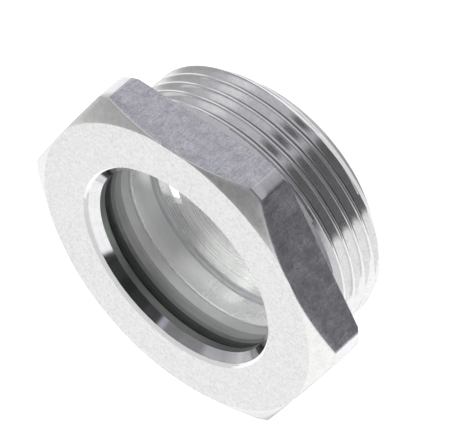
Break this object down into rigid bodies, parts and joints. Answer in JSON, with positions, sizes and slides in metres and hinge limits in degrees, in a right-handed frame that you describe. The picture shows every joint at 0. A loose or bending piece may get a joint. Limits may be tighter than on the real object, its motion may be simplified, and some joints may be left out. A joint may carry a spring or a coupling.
{
  "type": "oil level sight glass",
  "caption": "Hexagon-head screw-in window with a thick glass and a reflector behind it, for reading the oil level through a tank wall",
  "frame": {"origin": "on the axis, in the plane of the head's underside that seats on the tank wall", "axes": "+Y is the axis, pointing along the shank into the tank; -Y is the way the window looks; +Z is the normal of the hexagon's top flat; +X points to a corner of the hexagon"},
  "size_m": [0.0621, 0.0254, 0.055],
  "materials": {
    "turned_aluminium": "satin",
    "black_rubber": "matte",
    "clear_glass": "polished",
    "grey_packing": "matte",
    "satin_aluminium": "satin"
  },
  "bodies": {
    "root": {"body": "turned_aluminium", "front_seal": "black_rubber", "glass": "clear_glass", "side_packing": "grey_packing", "reflector_cup": "satin_aluminium"}
  },
  "joints": []
}
